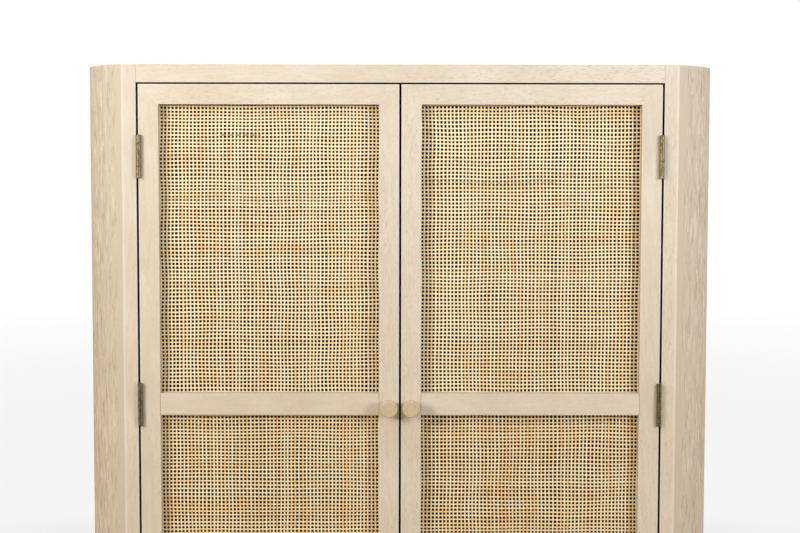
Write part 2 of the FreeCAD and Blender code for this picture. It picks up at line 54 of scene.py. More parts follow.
class Shade:
    """A socket of a material. Arithmetic on shades adds the Math nodes that it stands for."""

    def __init__(self, tree, socket=None):
        self.tree, self.socket = tree, socket

    def node(self, kind, settings, sockets, output=0):
        """Adds a node: its settings first, then the value or the link of each socket."""
        made = self.tree.nodes.new(kind)
        for setting, value in settings.items():
            setattr(made, setting, value)
        for key, value in sockets.items():
            if isinstance(value, Shade):
                self.tree.links.new(value.socket, made.inputs[key])
            else:
                made.inputs[key].default_value = value
        return Shade(self.tree, made.outputs[output])

    def maths(self, operation, *others):
        """This value, and any others after it, through a Math node."""
        values = dict(enumerate((self, *others)))
        return self.node("ShaderNodeMath", {"operation": operation}, values)

    def __add__(self, other):
        return self.maths("ADD", other)

    def __sub__(self, other):
        return self.maths("SUBTRACT", other)

    def __rsub__(self, other):
        return self.node("ShaderNodeMath", {"operation": "SUBTRACT"}, {0: other, 1: self})

    def __mul__(self, other):
        return self.maths("MULTIPLY", other)

    def __mod__(self, other):
        return self.maths("MODULO", other)

    __radd__ = __add__
    __rmul__ = __mul__

    def size(self):
        return self.maths("ABSOLUTE")

    def larger(self, other):
        return self.maths("MAXIMUM", other)

    def ramp(self, low, high):
        """0 below low, 1 above high, and a soft step between; it falls where low is the larger."""
        limits = {"Value": self, "From Min": low, "From Max": high}
        return self.node("ShaderNodeMapRange", {"interpolation_type": "SMOOTHSTEP"}, limits)

    def blend(self, first, second):
        """The first colour where this mask is 0, the second where it is 1."""
        return self.node("ShaderNodeMix", {"data_type": "RGBA"}, {0: self, 6: first, 7: second}, 2)

    def noise(self, scale, detail=2.0, roughness=0.5, distortion=0.0):
        """Noise over this vector, from 0 to 1 with its middle at 0.5."""
        sockets = {"Vector": self, "Scale": scale, "Detail": detail}
        sockets.update({"Roughness": roughness, "Distortion": distortion})
        return self.node("ShaderNodeTexNoise", {}, sockets)

    def part(self, axis):
        return self.node("ShaderNodeSeparateXYZ", {}, {0: self}, "xyz".index(axis))

    def near(self, place, reach, full):
        """1 up to full away from the place, and 0 from reach away."""
        return (self - place).size().ramp(reach, full)

    def stretched(self, scale):
        """This vector with each axis scaled on its own."""
        return self.node("ShaderNodeMapping", {}, {"Vector": self, "Scale": scale})

    def bumps(self, depth, strength):
        """The normal of a surface that this value lifts by up to depth."""
        sockets = {"Height": self, "Distance": depth, "Strength": strength}
        return self.node("ShaderNodeBump", {}, sockets)


def blank_material(name):
    """A material, its shader, and the place on the piece, which the maths starts from."""
    material = bpy.data.materials.new(name)
    material.use_nodes = True
    tree = material.node_tree
    spot = Shade(tree).node("ShaderNodeTexCoord", {}, {}, "Object")
    return material, tree.nodes["Principled BSDF"], spot


def plug(shader, values):
    """Sets the shader's constants and links what varies over the surface."""
    tree = shader.id_data
    for key, value in values.items():
        if isinstance(value, Shade):
            tree.links.new(value.socket, shader.inputs[key])
        else:
            shader.inputs[key].default_value = value


def colour(red, green, blue):
    """A display colour, 0 to 255 a channel, as the linear colour that shaders work in."""
    linear = [(c / 255 + 0.055) / 1.055 for c in (red, green, blue)]
    return tuple(c**2.4 for c in linear) + (1.0,)


# Tones are a deep and a pale colour, which the grain runs between.
OAK_TONES = colour(214, 199, 175), colour(230, 217, 197)
OAK_ROSY = colour(226, 204, 184)
OAK_GREEN = colour(216, 208, 180)
OAK_PORE = colour(178, 159, 132)
# Painted highlight along the eased edges, and the pale wash beside the mitres.
OAK_HIGHLIGHT_AND_WASH = colour(247, 238, 222)
OAK_SEAM = colour(128, 106, 80)
# Painted shade on the door's edges behind the face and in the window reveals.
OAK_REVEAL_SHADE = colour(152, 122, 86)
SIDE_TONES = colour(210, 194, 168), colour(224, 210, 187)
SIDE_FLECK = colour(242, 231, 214)
SIDE_SHADE = colour(184, 166, 142)
SIDE_SMOOTH = colour(218, 203, 178)
# The inside's dark stain, which also stands in for the shade seen through the cane and the gaps.
INSIDE_STAIN_AND_SHADE_TONES = colour(36, 25, 17), colour(52, 36, 24)
INSIDE_STAIN_AND_SHADE = INSIDE_STAIN_AND_SHADE_TONES[0]

# How far from its middle a line fades out, and how far it is at full strength, for Shade.near.
EDGE_HIGHLIGHT = 1.9 * MM, 0.7 * MM
GLUE_LINE = 0.5 * MM, 0.1 * MM
WOOD_SHEEN = {"Specular IOR Level": 0.12}
BOARD_STEP = (0.37, 0.73, 0.0)


def limed_oak(name, board, grain, tones=OAK_TONES, flecks=0.5, edges=(), seams=(), finish=None):
    """Open-pored oak under lime wash. The board's number gives each member its own cut of the wood,
    and the fibres follow the grain axis. Each edge is a painted highlight along an eased edge, and
    each seam is a line where two members meet; both are an axis and a distance from the middle of
    the cabinet, and a seam has its strength too. finish changes the colour from the place on the
    piece."""
    material, shader, spot = blank_material(name)
    own_place = [step * board for step in BOARD_STEP]
    cut = spot.node("ShaderNodeMapping", {}, {"Vector": spot, "Location": own_place})
    fibres = cut.stretched([0.1 if axis == grain else 1.0 for axis in "xyz"])
    streaks = fibres.noise(1500, detail=3, roughness=0.6)
    bands = (fibres.noise(30, detail=3, distortion=0.6) * 60).maths("SINE")
    clusters = fibres.noise(60, detail=2).ramp(0.42, 0.66)
    pores = fibres.noise(1150, detail=1).ramp(0.60, 0.76) * clusters
    dashes = cut.stretched([0.16 if axis == grain else 1.0 for axis in "xyz"])
    dashes = dashes.noise(620, detail=1).ramp(0.54, 0.74) * fibres.noise(14).ramp(0.3, 0.7)
    tone = streaks + bands * 0.08 + (cut.noise(9) - 0.5)
    shown = tone.ramp(0.05, 0.95).blend(*tones)
    shown = (cut.noise(55, detail=2).ramp(0.5, 0.8) * 0.5).blend(shown, OAK_ROSY)
    shown = (fibres.noise(75, detail=2).ramp(0.5, 0.8) * 0.35).blend(shown, OAK_GREEN)
    shown = (dashes * flecks).blend(shown, OAK_PORE)
    shown = (pores * flecks).blend(shown, OAK_PORE)
    # Painted highlight along each edge.
    for axis, place in edges:
        line = spot.part(axis).size().near(place, *EDGE_HIGHLIGHT)
        shown = (line * 0.5).blend(shown, OAK_HIGHLIGHT_AND_WASH)
    for axis, place, depth in seams:
        line = spot.part(axis).size().near(place, *GLUE_LINE)
        shown = (line * depth).blend(shown, OAK_SEAM)
    if finish:
        shown = finish(spot, shown)
    normal = (streaks * 0.5 - pores).bumps(0.1 * MM, 0.5)
    values = {"Base Color": shown, "Roughness": 0.58 + pores * 0.12, "Normal": normal}
    plug(shader, values | WOOD_SHEEN)
    return material


def flecked(spot, shown):
    """Wavy light and dark flecks where the cut crosses the rays of the log."""
    waves = spot.stretched((1, 0.5, 0.12))
    light = waves.noise(190, detail=4, roughness=0.65, distortion=0.8)
    dark = waves.noise(240, detail=3, roughness=0.65, distortion=0.6)
    shown = (light.ramp(0.50, 0.64) * 0.75).blend(shown, SIDE_FLECK)
    return (dark.ramp(0.52, 0.66) * 0.75).blend(shown, SIDE_SHADE)


def stained_and_shaded_inside(spot, shown):
    """Every face of the carcass that looks into the cupboard is stained dark brown, which also
    stands in for the shade inside and in the gaps round the doors. The wash goes a little way round
    each outer edge."""
    across = spot.part("x").size() - bow_middle.x
    behind = spot.part("y") - bow_middle.y
    from_middle = (across * across + behind * behind).maths("SQRT")
    on_bow = from_middle.ramp(bow_radius - 1.2 * MM, bow_radius - 0.8 * MM)
    on_front = spot.part("y").ramp(front_plane + 2 * WASH_REACH, front_plane + WASH_REACH)
    on_back = spot.part("y").ramp(back_low.y - 0.05 * MM, back_low.y - 0.02 * MM)
    on_top = spot.part("z").ramp(rail_top - 0.8 * MM, rail_top - 0.4 * MM)
    on_foot = spot.part("z").ramp(cupboard_floor - 0.2 * MM, cupboard_floor - 0.6 * MM)
    outside = on_bow.larger(on_front).larger(on_back).larger(on_top).larger(on_foot)
    return outside.blend(INSIDE_STAIN_AND_SHADE, shown)


def side_finish(spot, shown):
    """The bent sides are flecked all over."""
    return stained_and_shaded_inside(spot, flecked(spot, shown))


def dress(material, *names):
    """Gives CAD nodes a finish."""
    for name in names:
        nodes[name].data.materials.clear()
        nodes[name].data.materials.append(material)


def pair(name):
    return f"{name}_left", f"{name}_right"


POST_WIDTH = 23.5 * MM
WASH_REACH = 0.5 * MM
top_rail_low, top_rail_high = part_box("front_top_rail")
half_opening, rail_top = top_rail_high.x, top_rail_high.z
front_plane, opening_top = top_rail_low.y, top_rail_low.z
opening_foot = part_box("front_bottom_rail")[1].z
cupboard_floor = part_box("bottom_panel")[1].z
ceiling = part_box("top_panel")[0].z
arris = half_opening + POST_WIDTH


def post_finish(spot, shown):
    """The bowed face is a shade darker than the front, which carries a painted highlight beside the
    arris. It is smooth next to the arris, and flecked like the side further round."""
    across = spot.part("x").size()
    # Painted highlight on the front beside the arris.
    beside = across.ramp(arris - 6 * MM, arris - 0.5 * MM)
    shown = (beside * 0.35).blend(shown, OAK_HIGHLIGHT_AND_WASH)
    bowed = across.ramp(arris - 0.1 * MM, arris + 0.3 * MM)
    shown = (bowed * 0.85).blend(shown, SIDE_SMOOTH)
    round_the_bow = across.ramp(arris + 8 * MM, arris + 16 * MM)
    return stained_and_shaded_inside(spot, (round_the_bow * 0.8).blend(shown, flecked(spot, shown)))


def rail_finish_and_gap_shade(spot, shown):
    """The washed face turns a little way under the rail. Behind it, the rail's faces toward the
    doors are painted dark, a painted shade in the gaps above and below the doors.
    """
    deeper = spot.part("y").ramp(front_plane + WASH_REACH, front_plane + 2 * WASH_REACH)
    from_middle = (spot.part("z") - (opening_top + opening_foot) / 2).size()
    facing_in = from_middle.near((opening_top - opening_foot) / 2, 0.4 * MM, 0.2 * MM)
    # Painted shade on the rail's faces in the door gaps.
    return (deeper * facing_in).blend(shown, INSIDE_STAIN_AND_SHADE)


def stained_from(axis, bare, stained):
    """A finish that turns from bare oak into stain between two places on an axis. The stain also
    stands in for the shade inside the cupboard.
    """
    return lambda spot, shown: spot.part(axis).ramp(bare, stained).blend(shown, INSIDE_STAIN_AND_SHADE)


# The bow is an arc through both arrises and the cabinet's widest line.
side_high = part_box("side_panel_right")[1]
back_low, back_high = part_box("back_panel")
back_plane = back_high.y
half_chord = (back_plane - front_plane) / 2
bulge = side_high.x - arris
bow_radius = (half_chord**2 + bulge**2) / (2 * bulge)
bow_middle = Vector((side_high.x - bow_radius, (back_plane + front_plane) / 2))

post_highlights = [("x", half_opening)]
oak_post = limed_oak("oak_post", 14, "z", flecks=0.35, edges=post_highlights, finish=post_finish)
dress(oak_post, *pair("corner_post"))
oak_side = limed_oak("oak_bent_side", 16, "z", SIDE_TONES, 0.3, finish=side_finish)
dress(oak_side, *pair("side_panel"))
rail_highlights = [("z", opening_top), ("z", opening_foot)]
post_seam = [("x", half_opening, 0.12)]
oak_face = limed_oak("oak_face_rail", 17, "x", OAK_TONES, 0.5, rail_highlights, post_seam, rail_finish_and_gap_shade)
dress(oak_face, "front_top_rail", "front_bottom_rail")
# The underside of the top is the ceiling of the cupboard.
ceiling_stain = stained_from("z", ceiling + 1.0 * MM, ceiling + 0.6 * MM)
dress(limed_oak("oak_top", 18, "x", finish=ceiling_stain), "top_panel")

# ----------------------------------------
# Inside: the partition and four loose shelves of veneered ply with a dark brown stain, on an oak
# bottom board that is stained above only. Seen through the cane they are all but black. The dark
# stain also stands in for the shade inside the cupboard.


def stained_ply(name, grain):
    """Brown-stained veneer with a fine straight grain."""
    material, shader, spot = blank_material(name)
    fibres = spot.stretched([0.06 if axis == grain else 1.0 for axis in "xyz"])
    streaks = fibres.noise(700, detail=4, roughness=0.6)
    bands = (fibres.noise(18, detail=2, distortion=0.6) * 60).maths("SINE")
    tone = 0.5 + (streaks - 0.5) * 1.5 + bands * 0.2
    shown = tone.ramp(0.1, 0.9).blend(*INSIDE_STAIN_AND_SHADE_TONES)
    normal = streaks.bumps(0.1 * MM, 0.4)
    values = {"Base Color": shown, "Roughness": 0.6 + streaks * 0.15, "Normal": normal}
    plug(shader, values | WOOD_SHEEN)
    return material


stained_level = stained_ply("stained_level_board", "x")
dress(stained_level, *pair("lower_shelf"), *pair("upper_shelf"))
dress(stained_ply("stained_upright_board", "z"), "centre_partition")
floor_stain = stained_from("z", cupboard_floor - 1.0 * MM, cupboard_floor - 0.6 * MM)
dress(limed_oak("oak_bottom", 21, "x", finish=floor_stain), "bottom_panel")

# ----------------------------------------
# Doors: oak frames mitred at the corners, with a middle rail butted between the stiles. Each member
# has its own board's grain, so the joints read as a change of grain and a fine glue line.

door_low_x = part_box("meeting_stile_right")[0].x
door_high_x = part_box("hinge_stile_right")[1].x
rail_low, rail_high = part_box("door_middle_rail_right")
REBATE = 6.5 * MM
FRAME_WIDTH = 32.75 * MM
window_near = rail_low.x + REBATE
window_far = rail_high.x - REBATE
foot_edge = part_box("door_bottom_rail_right")[0].z
head_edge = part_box("door_top_rail_right")[1].z


def mitre_line(spot, shown):
    """A glue line along each corner's mitre, with the wash lying lighter beside it. Behind the
    face, on the door's edges and in the window reveals, the browner and darker colour is a painted
    shade."""
    across, up = spot.part("x").size(), spot.part("z")
    # Painted shade on the edges and in the reveals behind the face.
    behind = spot.part("y").ramp(front_plane + 1.5 * MM, front_plane + 4 * MM)
    shown = (behind * 0.45).blend(shown, OAK_REVEAL_SHADE)
    for edge_x, way_x in ((door_low_x, 1), (door_high_x, -1)):
        for edge_z, way_z in ((foot_edge, 1), (head_edge, -1)):
            aside = (across - edge_x) * way_x - (up - edge_z) * way_z
            in_corner = up.near(edge_z, FRAME_WIDTH + MM, FRAME_WIDTH)
            pale_line = aside.near(1.2 * MM, 1.6 * MM, 0.4 * MM) * in_corner
            dark_line = aside.size().ramp(*GLUE_LINE) * in_corner
            shown = (pale_line * 0.14).blend(shown, OAK_HIGHLIGHT_AND_WASH)
            shown = (dark_line * 0.18).blend(shown, OAK_SEAM)
    return shown


def stile_finish(outer, inner):
    """Painted highlights along a stile's edges, and a glue line instead where the middle rail meets
    it flush.
    """
    middle, half = (rail_low.z + rail_high.z) / 2, (rail_high.z - rail_low.z) / 2

    def finish(spot, shown):
        across = spot.part("x").size()
        clear_of_rail = (spot.part("z") - middle).size().ramp(half, half + MM)
        line = across.near(outer, *EDGE_HIGHLIGHT)
        line = line.larger(across.near(inner, 1.7 * MM, 0.5 * MM) * clear_of_rail)
        joint = across.near(inner, *GLUE_LINE) * (1 - clear_of_rail)
        shown = (line * 0.5).blend(shown, OAK_HIGHLIGHT_AND_WASH)
        return mitre_line(spot, (joint * 0.35).blend(shown, OAK_SEAM))

    return finish


hinge_finish = stile_finish(door_high_x, window_far)
meeting_finish = stile_finish(door_low_x, window_near)
head_highlights = head_edge, head_edge - FRAME_WIDTH
foot_highlights = foot_edge, foot_edge + FRAME_WIDTH
for oak, member, board, grain, flecks, edges, finish in (
    ("oak_hinge_stile", "hinge_stile", 23, "z", 0.45, (foot_edge, head_edge), hinge_finish),
    ("oak_meeting_stile", "meeting_stile", 24, "z", 0.45, (foot_edge, head_edge), meeting_finish),
    ("oak_door_head", "door_top_rail", 25, "x", 0.4, head_highlights, mitre_line),
    ("oak_door_foot", "door_bottom_rail", 26, "x", 0.4, foot_highlights, mitre_line),
):
    edges = [("z", edge) for edge in edges]
    dress(limed_oak(oak, board, grain, OAK_TONES, flecks, edges, (), finish), *pair(member))
butts = [("x", window_near, 0.4), ("x", window_far, 0.4)]
dress(limed_oak("oak_middle_rail", 27, "x", flecks=0.15, seams=butts), *pair("door_middle_rail"))
dress(stained_ply("stained_strip", "z"), *pair("cane_strips_upper"), *pair("cane_strips_lower"))

# ----------------------------------------
# Cane: split rattan peel woven one over, one under into an open square mesh, soaked, stretched
# into the rebate of each window and pinned behind strips. Peel is glossy, varies from cream to
# amber from strand to strand, and a few strands carry a brown water stain.

STRAND_PITCH = {"x": 6.07 * MM, "z": 6.16 * MM}
STRAND_WIDTH = 2.55 * MM
STRAND_THICKNESS = 0.62 * MM
STRAND_RISE = 0.40 * MM
FLAT_REACH = 0.38
TOP_OVERRUN = 0.6 * MM
PITCH_UNEVENNESS = 0.065
WIDTH_UNEVENNESS = 0.06
WANDER = 0.55 * MM
WANDER_WAVES = 5
WANDER_PACE = 60
AMBER_SHIFT_BELOW = 0.18
MAP_GAP = 0.08
MAP_END = 0.01
# Across a strand in shares of its width and thickness: a flattened half-round above and below.
SECTION = [(-0.5, 0.0), (-0.37, 0.48), (0.37, 0.48), (0.5, 0.0), (0.37, -0.48), (-0.37, -0.48)]


def strand_places(low, high, pitch, dice):
    """Middles of the strands of one direction, a little unevenly spaced."""
    count = round((high - low) / pitch)
    gaps = 1 + PITCH_UNEVENNESS * dice.standard_normal(count)
    return low + (np.cumsum(gaps) - gaps / 2) / gaps.sum() * (high - low)


def wander_field(dice):
    """A slow sideways drift of the weave, in metres, over the window."""
    limits = (-WANDER_PACE, WANDER_PACE), (-WANDER_PACE, WANDER_PACE), (0, math.tau)
    waves = [[dice.uniform(*limit) for limit in limits] for _ in range(WANDER_WAVES)]
    return lambda x, z: WANDER * sum(np.sin(a * x + b * z + c) for a, b, c in waves) / 2


def in_scene(name, data):
    """A new object of this mesh, lamp or camera."""
    made = bpy.data.objects.new(name, data)
    bpy.context.collection.objects.link(made)
    return made


def woven_strands(name, paths, across, widths, stains, amber_shift):
    """One mesh of all strands of a direction. paths holds the stations of each strand's middle
    line, across is the axis of its width, and the last argument makes the cane more amber."""
    strands, stations = paths.shape[:2]
    ring = len(SECTION)
    spread = np.array([u for u, _ in SECTION])
    rise = np.array([v for _, v in SECTION])
    points = np.repeat(paths[:, :, None, :], ring, axis=2)
    points[..., across] += widths[:, None, None] * spread
    points[..., 1] -= STRAND_THICKNESS * rise
    index = np.arange(strands * stations * ring).reshape(strands, stations, ring)
    beside = np.roll(index, -1, axis=2)
    sides = [index[:, :-1], beside[:, :-1], beside[:, 1:], index[:, 1:]]
    faces = np.stack(sides, axis=-1).reshape(-1, 4).tolist()
    faces += index[:, 0, ::-1].tolist() + index[:, -1].tolist()
    mesh = bpy.data.meshes.new(name)
    mesh.from_pydata(points.reshape(-1, 3), [], faces)
    tints = (amber_shift + dice.random(strands))[:, None].repeat(stations, 1)
    for label, values in (("tint", tints), ("stain", stains)):
        layer = mesh.attributes.new(label, "FLOAT", "POINT")
        layer.data.foreach_set("value", values[..., None].repeat(ring, 2).ravel())
    split = mesh.attributes.new("split", "FLOAT", "POINT")
    split.data.foreach_set("value", np.tile(np.abs(spread) * 2, strands * stations))
    bake_map(mesh, strands, stations, ring)
    if across == 2:
        mesh.flip_normals()
    mesh.shade_smooth()
    return in_scene(name, mesh)


def bake_map(mesh, strands, stations, ring):
    """Lays the strands side by side in the map that finishes are baked to, each one straight."""
    layer = mesh.uv_layers.new(name="OFBake")
    strand, station, side = np.meshgrid(
        np.arange(strands), np.arange(stations - 1), np.arange(ring), indexing="ij"
    )
    corner_run = np.stack([station, station, station + 1, station + 1], axis=-1) / (stations - 1)
    corner_side = np.stack([side, side + 1, side + 1, side], axis=-1) / ring
    height = (strand[..., None] + MAP_GAP + (1 - 2 * MAP_GAP) * corner_side) / strands
    run = corner_run * (1 - 2 * MAP_END) + MAP_END
    uv = np.stack([run, height], axis=-1).reshape(-1, 2)
    ends = np.repeat(uv[:: 4 * ring * (stations - 1)], ring * 2, axis=0)
    layer.uv.foreach_set("vector", np.concatenate([uv, ends]).ravel())


def rattan_peel(name, run_axis):
    """Glossy peel, its colour drifting along each strand. Below the upper edge of each window it is
    darkened by a painted shadow, and the flanks of each strand are painted deep orange as shade."""
    material, shader, spot = blank_material(name)
    tint, stain, split = (
        spot.node("ShaderNodeAttribute", {"attribute_name": label}, {}, "Fac")
        for label in ("tint", "stain", "split")
    )
    run = spot.part(run_axis)
    drift = spot.node("ShaderNodeCombineXYZ", {}, {0: tint * 97, 1: run * 14}).noise(1, detail=3)
    rosy = spot.node("ShaderNodeCombineXYZ", {}, {0: tint * 51, 1: run * 9, 2: 4.0}).noise(1)
    grain = spot.node("ShaderNodeCombineXYZ", {}, {0: tint * 31, 1: run * 400}).noise(1, detail=1)
    amber = (drift + (tint - 0.5) * 0.25).ramp(0.44, 0.80)
    shown = (amber * 0.75).blend(CANE_CREAM, CANE_AMBER)
    shown = (rosy.ramp(0.56, 0.74) * 0.55).blend(shown, CANE_ROSE)
    shown = (grain.ramp(0.35, 0.75) * 0.3).blend(shown, CANE_STRAW)
    # Painted shade: the flanks of each strand deep orange.
    shown = (split.ramp(0.74, 1.0) * 0.9).blend(shown, CANE_FLANK_SHADE)
    # Painted shadow of the rail above each window, in the stain colour.
    for head in (head_edge - FRAME_WIDTH, rail_low.z):
        rail_shadow = spot.part("z").near(head, 4.0 * MM, 1.5 * MM)
        shown = (rail_shadow * 0.6).blend(shown, CANE_STAIN_AND_SHADOW)
    shown = stain.blend(shown, CANE_STAIN_AND_SHADOW)
    gloss = {"Coat Weight": 0.3, "Coat Roughness": 0.22}
    plug(shader, {"Base Color": shown, "Roughness": 0.36 + grain * 0.16} | gloss)
    return material


CANE_CREAM = colour(255, 245, 206)
CANE_STRAW = colour(255, 228, 160)
CANE_AMBER = colour(252, 194, 106)
CANE_ROSE = colour(255, 213, 168)
# The brown of the water stains, and of the painted shadow under the rails.
CANE_STAIN_AND_SHADOW = colour(104, 70, 46)
# Deep orange, painted shade on the strands' flanks.
CANE_FLANK_SHADE = colour(230, 132, 44)
cane_material = {"x": rattan_peel("cane_level", "x"), "z": rattan_peel("cane_upright", "z")}

# Stained stretches of level strands: the window, the height, from x to x, and how dark.
STAINED_STRETCHES = [
    ("cane_upper_left", 1068 * MM, -294 * MM, -228 * MM, 0.6),
    ("cane_upper_right", 992 * MM, 40 * MM, 255 * MM, 0.38),
    ("cane_upper_right", 1022 * MM, 60 * MM, 150 * MM, 0.25),
    ("cane_lower_right", 592 * MM, 34 * MM, 390 * MM, 0.30),
    ("cane_lower_left", 596 * MM, -390 * MM, -250 * MM, 0.25),
]

dice = np.random.default_rng(28)
for side in ("left", "right"):
    for window in ("upper", "lower"):
        sheet = f"cane_{window}_{side}"
        low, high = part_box(sheet)
        middle_y = (low.y + high.y) / 2
        left, right = low.x + STRAND_WIDTH, high.x - STRAND_WIDTH
        columns = strand_places(left, right, STRAND_PITCH["x"], dice)
        foot, head = low.z + STRAND_WIDTH, high.z + TOP_OVERRUN
        rows = strand_places(foot, head, STRAND_PITCH["z"], dice)
        drift_x, drift_z = wander_field(dice), wander_field(dice)
        cross_x, cross_z = np.meshgrid(columns, rows, indexing="ij")
        at_x = cross_x + drift_x(cross_x, cross_z)
        at_z = cross_z + drift_z(cross_x, cross_z)
        over = 1 - 2 * (np.add.outer(np.arange(len(columns)), np.arange(len(rows))) % 2)
        for axis, run_axis in (("z", 2), ("x", 0)):
            # Each crossing has two stations, so that the strand lies flat over its neighbour.
            x, z, up = (at_x, at_z, over) if axis == "z" else (at_x.T, at_z.T, -over.T)
            run, aside = (z, x) if axis == "z" else (x, z)
            reach = FLAT_REACH * STRAND_WIDTH
            stops = np.stack([run - reach, run + reach], axis=-1).reshape(len(run), -1)
            paths = np.zeros(stops.shape + (3,))
            paths[..., run_axis] = stops
            paths[..., 2 - run_axis] = aside.repeat(2, axis=1)
            paths[..., 1] = middle_y - STRAND_RISE * up.repeat(2, axis=1)
            paths[:, 0, run_axis] = low[run_axis] + MM / 2
            paths[:, -1, run_axis] = high[run_axis] - MM / 2
            stains = np.zeros(stops.shape)
            for where, height, start, end, depth in STAINED_STRETCHES:
                if where == sheet and axis == "x":
                    strand = np.abs(rows - height).argmin()
                    stains[strand] += depth * ((stops[strand] > start) & (stops[strand] < end))
            widths = STRAND_WIDTH * (1 + WIDTH_UNEVENNESS * dice.standard_normal(len(paths)))
            name = f"{sheet}_uprights" if axis == "z" else f"{sheet}_levels"
            # The lower windows' cane is more amber.
            more_amber = AMBER_SHIFT_BELOW if window == "lower" else 0.0
            piece = woven_strands(name, paths, 2 - run_axis, widths, stains, more_amber)
            piece.data.materials.append(cane_material[axis])
            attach(piece, f"{side}_door")
            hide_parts(sheet)

# ----------------------------------------
# Knobs: turned from beech on a lathe, a short neck under a wide head with an eased rim and a flat
# end, limed like the frame. The end grain takes more stain, so the face is a shade browner.


def mesh_of(shape):
    """Ends the work on a shape, and keeps its mesh."""
    mesh = bpy.data.meshes.new("shape")
    shape.to_mesh(mesh)
    shape.free()
    return mesh


def turned(profile, steps):
    """A lathe-turned mesh about Z. The profile's points are (radius, height); it closes on the
    axis where a radius is 0, and otherwise its last point joins its first as a ring does."""
    shape = bmesh.new()
    rings = []
    for radius, height in profile:
        turns = [math.tau * step / steps for step in range(steps if radius > 0 else 1)]
        places = [(radius * math.cos(a), radius * math.sin(a), height) for a in turns]
        rings.append([shape.verts.new(place) for place in places])
    closed = profile[0][0] > 0 and profile[-1][0] > 0
    for number in range(0 if closed else 1, len(rings)):
        below, above = rings[number - 1], rings[number]
        for step in range(steps):
            following = (step + 1) % steps
            corners = [below[step % len(below)], below[following % len(below)]]
            corners += [above[following % len(above)], above[step % len(above)]]
            shape.faces.new(list(dict.fromkeys(corners)))
    bmesh.ops.recalc_face_normals(shape, faces=shape.faces)
    return mesh_of(shape)


ROUNDING_STEPS = 4
CREASE_ANGLE = math.radians(35)


def rounded_profile(points, radius):
    """The profile with each inner corner rounded."""
    soft = [points[0]]
    for before, corner, after in zip(points, points[1:], points[2:]):
        c = Vector(corner)
        arms = [(Vector(p) - c) for p in (before, after)]
        reach = min([radius] + [arm.length * 0.45 for arm in arms])
        start, end = (c + arm.normalized() * reach for arm in arms)
        for step in range(ROUNDING_STEPS + 1):
            t = step / ROUNDING_STEPS
            soft.append(tuple(start * (1 - t) ** 2 + c * 2 * t * (1 - t) + end * t**2))
    return soft + [points[-1]]


def piece_of(name, mesh, body, material):
    """A finished piece of the cabinet that rides on a body."""
    mesh.shade_smooth()
    mesh.set_sharp_from_angle(angle=CREASE_ANGLE)
    mesh.materials.clear()
    mesh.materials.append(material)
    piece = in_scene(name, mesh)
    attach(piece, body)
    return piece


def knob_beech():
    """Limed beech: browner end grain on the flat face, and a paler eased rim round it, partly pale
    wash and partly a painted highlight.
    """
    material, shader, spot = blank_material("knob_beech")
    fleck = spot.noise(1400, detail=2)
    drift = spot.noise(120, detail=2)
    streak = spot.stretched((1, 0.1, 1)).noise(500, detail=2)
    side = (drift * 0.5 + streak * 0.5).ramp(0.3, 0.7).blend(*KNOB_SIDE_AND_HIGHLIGHT_TONES)
    end = (drift * 0.7 + fleck * 0.3).ramp(0.3, 0.7).blend(*KNOB_END_TONES)
    is_face = spot.part("y").ramp(knob_front + 0.5 * MM, knob_front + 0.15 * MM)
    normal = fleck.bumps(0.03 * MM, 0.3)
    values = {"Base Color": is_face.blend(side, end), "Roughness": 0.5, "Normal": normal}
    plug(shader, values | WOOD_SHEEN)
    return material


# The rim and sides are paler than the end, partly as a painted highlight.
KNOB_SIDE_AND_HIGHLIGHT_TONES = colour(207, 189, 159), colour(216, 200, 171)
KNOB_END_TONES = colour(202, 182, 146), colour(209, 190, 155)

knob_low, knob_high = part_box("knob_right")
knob_front, door_face = knob_low.y, knob_high.y
knob_radius = (knob_high.x - knob_low.x) / 2
knob_length = door_face - knob_front
KNOB_NECK_RADIUS = 7.9 * MM
KNOB_FACE_RADIUS = 11.0 * MM
KNOB_SKIRT = 11.2 * MM
KNOB_SKIRT_RADIUS = 11.4 * MM
KNOB_WIDEST_FROM = 23 * MM
KNOB_ROUND = 3.4 * MM
KNOB_BLEND = 1.1 * MM
rim_reach = knob_radius - KNOB_FACE_RADIUS
knob_profile = [
    (0, 0),
    (KNOB_NECK_RADIUS * 1.12, 0),
    (KNOB_NECK_RADIUS * 0.94, KNOB_SKIRT * 0.45),
    (KNOB_NECK_RADIUS * 1.05, KNOB_SKIRT * 0.9),
    (KNOB_SKIRT_RADIUS, KNOB_SKIRT * 1.05),
    (knob_radius, KNOB_WIDEST_FROM),
]
knob_profile += [
    (KNOB_FACE_RADIUS + rim_reach * math.cos(a), knob_length - KNOB_ROUND * (1 - math.sin(a)))
    for a in map(math.radians, range(0, 90, 15))
]
knob_profile += [(KNOB_FACE_RADIUS * share, knob_length) for share in (1, 0.5, 0)]
knob_material = knob_beech()
for side in ("right", "left"):
    low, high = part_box(f"knob_{side}")
    mesh = turned(rounded_profile(knob_profile, KNOB_BLEND), 96)
    foot = Vector(((low.x + high.x) / 2, door_face, (low.z + high.z) / 2))
    mesh.transform(Matrix.Translation(foot) @ Matrix.Rotation(math.pi / 2, 4, "X"))
    knob = piece_of(f"turned_knob_{side}", mesh, f"{side}_door", knob_material)
    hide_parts(f"knob_{side}")

# ----------------------------------------
# Butt hinges: two leaves cut from 1.3 mm brass plate, their edges rolled round a loose pin as five
# knuckles. The leaves lie in the gap beside the door, each held by three countersunk screws. The
# brass is aged to a mottled brown, darkest in the seams, and the lower hinges are darker. On the
# knuckles, bright flanks are a painted highlight, and a dark middle and dark sides painted shade.


def joined(parts):
    """One mesh of several, each with its own place."""
    whole = bmesh.new()
    for mesh, placement in parts:
        copy = mesh.copy()
        copy.transform(placement)
        whole.from_mesh(copy)
        bpy.data.meshes.remove(copy)
    return mesh_of(whole)


